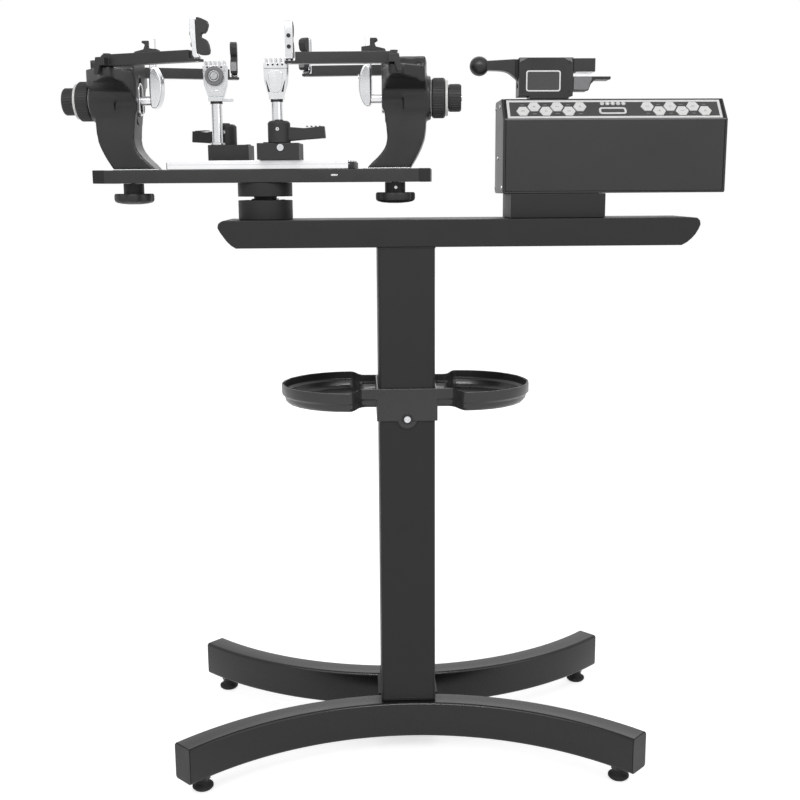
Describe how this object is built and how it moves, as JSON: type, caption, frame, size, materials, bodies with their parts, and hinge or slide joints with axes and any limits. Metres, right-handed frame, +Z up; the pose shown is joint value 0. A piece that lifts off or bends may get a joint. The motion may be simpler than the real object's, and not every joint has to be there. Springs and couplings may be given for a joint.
{
  "type": "racket stringing machine",
  "caption": "Racket stringing machine on a column: a turning rail with padded racket posts and string clamps beside a box with a sliding string gripper, keys and a display.",
  "frame": {"origin": "on the floor, below the middle of the whole machine", "axes": "+Z up, +X to the tension head, -Y to the operator who faces the control panel"},
  "size_m": [0.9272, 0.3892, 1.0492],
  "materials": {
    "black_paint": "satin",
    "black_alloy": "satin",
    "black_plastic": "satin",
    "bright_metal": "polished",
    "white_key": "gloss",
    "panel_film": "satin",
    "black_rubber": "matte"
  },
  "bodies": {
    "stand": {"base_tube_front": "black_paint", "base_tube_rear": "black_paint", "column": "black_paint", "tool_tray": "black_plastic", "beam": "black_paint", "turntable_base": "black_paint", "tension_pedestal": "black_paint", "housing_chassis": "black_paint", "housing_cover": "black_paint", "control_panel": "panel_film", "drive_motor": "bright_metal"},
    "turntable": {"turntable_hub": "black_paint", "turntable_rail": "black_paint", "guide_rails": "bright_metal"},
    "foot_front_left": {"foot_front_left": "black_rubber"},
    "foot_front_right": {"foot_front_right": "black_rubber"},
    "foot_rear_left": {"foot_rear_left": "black_rubber"},
    "foot_rear_right": {"foot_rear_right": "black_rubber"},
    "post_left": {"racket_post_left": "black_alloy"},
    "lock_knob_left": {"lock_knob_left": "black_plastic"},
    "arm_wheel_left": {"arm_wheel_left": "black_plastic"},
    "arm_front_left": {"arm_front_left": "black_alloy"},
    "shoulder_support_front_left": {"shoulder_support_front_left": "bright_metal"},
    "arm_rear_left": {"arm_rear_left": "black_alloy"},
    "shoulder_support_rear_left": {"shoulder_support_rear_left": "bright_metal"},
    "centre_knob_left": {"centre_knob_left": "black_plastic"},
    "centre_support_left": {"centre_support_left": "bright_metal"},
    "post_right": {"racket_post_right": "black_alloy"},
    "lock_knob_right": {"lock_knob_right": "black_plastic"},
    "arm_wheel_right": {"arm_wheel_right": "black_plastic"},
    "arm_front_right": {"arm_front_right": "black_alloy"},
    "shoulder_support_front_right": {"shoulder_support_front_right": "bright_metal"},
    "arm_rear_right": {"arm_rear_right": "black_alloy"},
    "shoulder_support_rear_right": {"shoulder_support_rear_right": "bright_metal"},
    "centre_knob_right": {"centre_knob_right": "black_plastic"},
    "centre_support_right": {"centre_support_right": "bright_metal"},
    "clamp_base_left": {"clamp_base_left": "black_plastic"},
    "clamp_base_lever_left": {"clamp_base_lever_left": "black_plastic"},
    "string_clamp_left": {"string_clamp_left": "bright_metal"},
    "string_clamp_jaw_left": {"string_clamp_jaw_left": "bright_metal"},
    "clamp_base_right": {"clamp_base_right": "black_plastic"},
    "clamp_base_lever_right": {"clamp_base_lever_right": "black_plastic"},
    "string_clamp_right": {"string_clamp_right": "bright_metal"},
    "string_clamp_jaw_right": {"string_clamp_jaw_right": "bright_metal"},
    "lead_screw": {"lead_screw": "bright_metal"},
    "gripper": {"gripper_body": "black_alloy"},
    "gripper_lever": {"gripper_lever": "black_alloy"},
    "gripper_jaw": {"gripper_jaw": "black_alloy"},
    "key_left_1": {"key_left_1": "white_key"},
    "key_left_2": {"key_left_2": "white_key"},
    "key_left_3": {"key_left_3": "white_key"},
    "key_left_4": {"key_left_4": "white_key"},
    "key_left_5": {"key_left_5": "white_key"},
    "key_left_6": {"key_left_6": "white_key"},
    "key_right_1": {"key_right_1": "white_key"},
    "key_right_2": {"key_right_2": "white_key"},
    "key_right_3": {"key_right_3": "white_key"},
    "key_right_4": {"key_right_4": "white_key"},
    "key_right_5": {"key_right_5": "white_key"},
    "key_right_6": {"key_right_6": "white_key"}
  },
  "joints": [
    {"name": "foot_turn_front_left", "type": "hinge", "parent": "stand", "child": "foot_front_left", "pos_m": [-0.27983, -0.16115, 0], "axis": [0, 0, 1], "continuous": true},
    {"name": "foot_turn_front_right", "type": "hinge", "parent": "stand", "child": "foot_front_right", "pos_m": [0.31302, -0.16115, 0], "axis": [0, 0, 1], "continuous": true},
    {"name": "foot_turn_rear_left", "type": "hinge", "parent": "stand", "child": "foot_rear_left", "pos_m": [-0.27983, 0.16115, 0], "axis": [0, 0, 1], "continuous": true},
    {"name": "foot_turn_rear_right", "type": "hinge", "parent": "stand", "child": "foot_rear_right", "pos_m": [0.31302, 0.16115, 0], "axis": [0, 0, 1], "continuous": true},
    {"name": "turntable_spin", "type": "hinge", "parent": "stand", "child": "turntable", "pos_m": [-0.1814, 0, 0.8596], "axis": [0, 0, 1], "continuous": true},
    {"name": "post_slide_left", "type": "slide", "parent": "turntable", "child": "post_left", "axis": [-0.9962, 0.0872, 0], "range_m": [-0.01, 0.025]},
    {"name": "lock_knob_turn_left", "type": "hinge", "parent": "post_left", "child": "lock_knob_left", "pos_m": [-0.36968, 0.01647, 0.82], "axis": [0, 0, 1], "range_deg": [-180, 0]},
    {"name": "arm_wheel_turn_left", "type": "hinge", "parent": "post_left", "child": "arm_wheel_left", "pos_m": [-0.42946, 0.0217, 0.9553], "axis": [0.9962, -0.0872, 0], "range_deg": [-84, 216]},
    {"name": "arm_swing_front_left", "type": "hinge", "parent": "post_left", "child": "arm_front_left", "pos_m": [-0.38263, -0.0627, 0.9944], "axis": [0, 0, 1], "range_deg": [-7, 18]},
    {"name": "support_swivel_front_left", "type": "hinge", "parent": "arm_front_left", "child": "shoulder_support_front_left", "pos_m": [-0.25441, -0.11713, 0.9944], "axis": [0, 0, 1], "range_deg": [-15, 15]},
    {"name": "arm_swing_rear_left", "type": "hinge", "parent": "post_left", "child": "arm_rear_left", "pos_m": [-0.36869, 0.09669, 0.9944], "axis": [0, 0, 1], "range_deg": [-18, 7]},
    {"name": "support_swivel_rear_left", "type": "hinge", "parent": "arm_rear_left", "child": "shoulder_support_rear_left", "pos_m": [-0.23296, 0.12803, 0.9944], "axis": [0, 0, 1], "range_deg": [-5, 15]},
    {"name": "centre_knob_turn_left", "type": "hinge", "parent": "post_left", "child": "centre_knob_left", "pos_m": [-0.44938, 0.02345, 0.9553], "axis": [0.9962, -0.0872, 0], "range_deg": [0, 1440]},
    {"name": "centre_support_slide_left", "type": "slide", "parent": "post_left", "child": "centre_support_left", "axis": [0.9962, -0.0872, 0], "range_m": [0, 0.012]},
    {"name": "post_slide_right", "type": "slide", "parent": "turntable", "child": "post_right", "axis": [0.9962, -0.0872, 0], "range_m": [-0.01, 0.025]},
    {"name": "lock_knob_turn_right", "type": "hinge", "parent": "post_right", "child": "lock_knob_right", "pos_m": [0.00289, -0.01612, 0.82], "axis": [0, 0, 1], "range_deg": [-180, 0]},
    {"name": "arm_wheel_turn_right", "type": "hinge", "parent": "post_right", "child": "arm_wheel_right", "pos_m": [0.06266, -0.02135, 0.9553], "axis": [0.9962, -0.0872, 0], "range_deg": [-264, 36]},
    {"name": "arm_swing_front_right", "type": "hinge", "parent": "post_right", "child": "arm_front_right", "pos_m": [0.0019, -0.09634, 0.9944], "axis": [0, 0, 1], "range_deg": [-3, 22]},
    {"name": "support_swivel_front_right", "type": "hinge", "parent": "arm_front_right", "child": "shoulder_support_front_right", "pos_m": [-0.13721, -0.08905, 0.9944], "axis": [0, 0, 1], "range_deg": [-15, 15]},
    {"name": "arm_swing_rear_right", "type": "hinge", "parent": "post_right", "child": "arm_rear_right", "pos_m": [0.01584, 0.06305, 0.9944], "axis": [0, 0, 1], "range_deg": [-22, 3]},
    {"name": "support_swivel_rear_right", "type": "hinge", "parent": "arm_rear_right", "child": "shoulder_support_rear_right", "pos_m": [-0.12242, 0.08002, 0.9944], "axis": [0, 0, 1], "range_deg": [-15, 15]},
    {"name": "centre_knob_turn_right", "type": "hinge", "parent": "post_right", "child": "centre_knob_right", "pos_m": [0.08259, -0.0231, 0.9553], "axis": [0.9962, -0.0872, 0], "range_deg": [0, 1440]},
    {"name": "centre_support_slide_right", "type": "slide", "parent": "post_right", "child": "centre_support_right", "axis": [-0.9962, 0.0872, 0], "range_m": [0, 0.012]},
    {"name": "clamp_base_slide_left", "type": "slide", "parent": "turntable", "child": "clamp_base_left", "axis": [0.9962, -0.0872, 0], "range_m": [-0.024, 0.026]},
    {"name": "clamp_base_lever_turn_left", "type": "hinge", "parent": "clamp_base_left", "child": "clamp_base_lever_left", "pos_m": [-0.23895, 0.04218, 0.8946], "axis": [0, 0, 1], "range_deg": [-57, 33]},
    {"name": "string_clamp_turn_left", "type": "hinge", "parent": "clamp_base_left", "child": "string_clamp_left", "pos_m": [-0.24806, 0.01838, 0.8946], "axis": [0, 0, 1], "range_deg": [-90, 90]},
    {"name": "string_clamp_jaw_slide_left", "type": "slide", "parent": "string_clamp_left", "child": "string_clamp_jaw_left", "axis": [0.0872, 0.9962, 0], "range_m": [0, 0.0009]},
    {"name": "clamp_base_slide_right", "type": "slide", "parent": "turntable", "child": "clamp_base_right", "axis": [0.9962, -0.0872, 0], "range_m": [-0.026, 0.045]},
    {"name": "clamp_base_lever_turn_right", "type": "hinge", "parent": "clamp_base_right", "child": "clamp_base_lever_right", "pos_m": [-0.15674, -0.0393, 0.8946], "axis": [0, 0, 1], "range_deg": [-90, 0]},
    {"name": "string_clamp_turn_right", "type": "hinge", "parent": "clamp_base_right", "child": "string_clamp_right", "pos_m": [-0.16058, -0.01437, 0.8946], "axis": [0, 0, 1], "range_deg": [-90, 90]},
    {"name": "string_clamp_jaw_slide_right", "type": "slide", "parent": "string_clamp_right", "child": "string_clamp_jaw_right", "axis": [-0.0872, -0.9962, 0], "range_m": [0, 0.0009]},
    {"name": "lead_screw_turn", "type": "hinge", "parent": "stand", "child": "lead_screw", "pos_m": [0.2766, 0, 0.884], "axis": [1, 0, 0], "range_deg": [0, 7200]},
    {"name": "gripper_slide", "type": "slide", "parent": "stand", "child": "gripper", "axis": [1, 0, 0], "range_m": [0, 0.16]},
    {"name": "gripper_lever_lift", "type": "hinge", "parent": "gripper", "child": "gripper_lever", "pos_m": [0.2026, 0, 0.996], "axis": [0, 1, 0], "range_deg": [0, 50]},
    {"name": "gripper_jaw_open", "type": "hinge", "parent": "gripper", "child": "gripper_jaw", "pos_m": [0.2226, 0, 1.004], "axis": [0, 1, 0], "range_deg": [-3, 0]},
    {"name": "key_press_left_1", "type": "slide", "parent": "stand", "child": "key_left_1", "axis": [0, 0.7557, -0.6549], "range_m": [0, 0.0008], "stiffness_N_per_m": 300},
    {"name": "key_press_left_2", "type": "slide", "parent": "stand", "child": "key_left_2", "axis": [0, 0.7557, -0.6549], "range_m": [0, 0.0008], "stiffness_N_per_m": 300},
    {"name": "key_press_left_3", "type": "slide", "parent": "stand", "child": "key_left_3", "axis": [0, 0.7557, -0.6549], "range_m": [0, 0.0008], "stiffness_N_per_m": 300},
    {"name": "key_press_left_4", "type": "slide", "parent": "stand", "child": "key_left_4", "axis": [0, 0.7557, -0.6549], "range_m": [0, 0.0008], "stiffness_N_per_m": 300},
    {"name": "key_press_left_5", "type": "slide", "parent": "stand", "child": "key_left_5", "axis": [0, 0.7557, -0.6549], "range_m": [0, 0.0008], "stiffness_N_per_m": 300},
    {"name": "key_press_left_6", "type": "slide", "parent": "stand", "child": "key_left_6", "axis": [0, 0.7557, -0.6549], "range_m": [0, 0.0008], "stiffness_N_per_m": 300},
    {"name": "key_press_right_1", "type": "slide", "parent": "stand", "child": "key_right_1", "axis": [0, 0.7557, -0.6549], "range_m": [0, 0.0008], "stiffness_N_per_m": 300},
    {"name": "key_press_right_2", "type": "slide", "parent": "stand", "child": "key_right_2", "axis": [0, 0.7557, -0.6549], "range_m": [0, 0.0008], "stiffness_N_per_m": 300},
    {"name": "key_press_right_3", "type": "slide", "parent": "stand", "child": "key_right_3", "axis": [0, 0.7557, -0.6549], "range_m": [0, 0.0008], "stiffness_N_per_m": 300},
    {"name": "key_press_right_4", "type": "slide", "parent": "stand", "child": "key_right_4", "axis": [0, 0.7557, -0.6549], "range_m": [0, 0.0008], "stiffness_N_per_m": 300},
    {"name": "key_press_right_5", "type": "slide", "parent": "stand", "child": "key_right_5", "axis": [0, 0.7557, -0.6549], "range_m": [0, 0.0008], "stiffness_N_per_m": 300},
    {"name": "key_press_right_6", "type": "slide", "parent": "stand", "child": "key_right_6", "axis": [0, 0.7557, -0.6549], "range_m": [0, 0.0008], "stiffness_N_per_m": 300}
  ],
  "couplings": [
    {"joint": "arm_swing_front_left", "follows": "arm_wheel_turn_left", "ratio": 0.083333},
    {"joint": "arm_swing_rear_left", "follows": "arm_wheel_turn_left", "ratio": -0.083333},
    {"joint": "centre_knob_turn_left", "follows": "centre_support_slide_left", "rad_per_m": 2094.4},
    {"joint": "arm_swing_front_right", "follows": "arm_wheel_turn_right", "ratio": -0.083333},
    {"joint": "arm_swing_rear_right", "follows": "arm_wheel_turn_right", "ratio": 0.083333},
    {"joint": "centre_knob_turn_right", "follows": "centre_support_slide_right", "rad_per_m": 2094.4},
    {"joint": "lead_screw_turn", "follows": "gripper_slide", "rad_per_m": 785.4},
    {"joint": "gripper_jaw_open", "follows": "gripper_lever_lift", "ratio": -0.06}
  ]
}
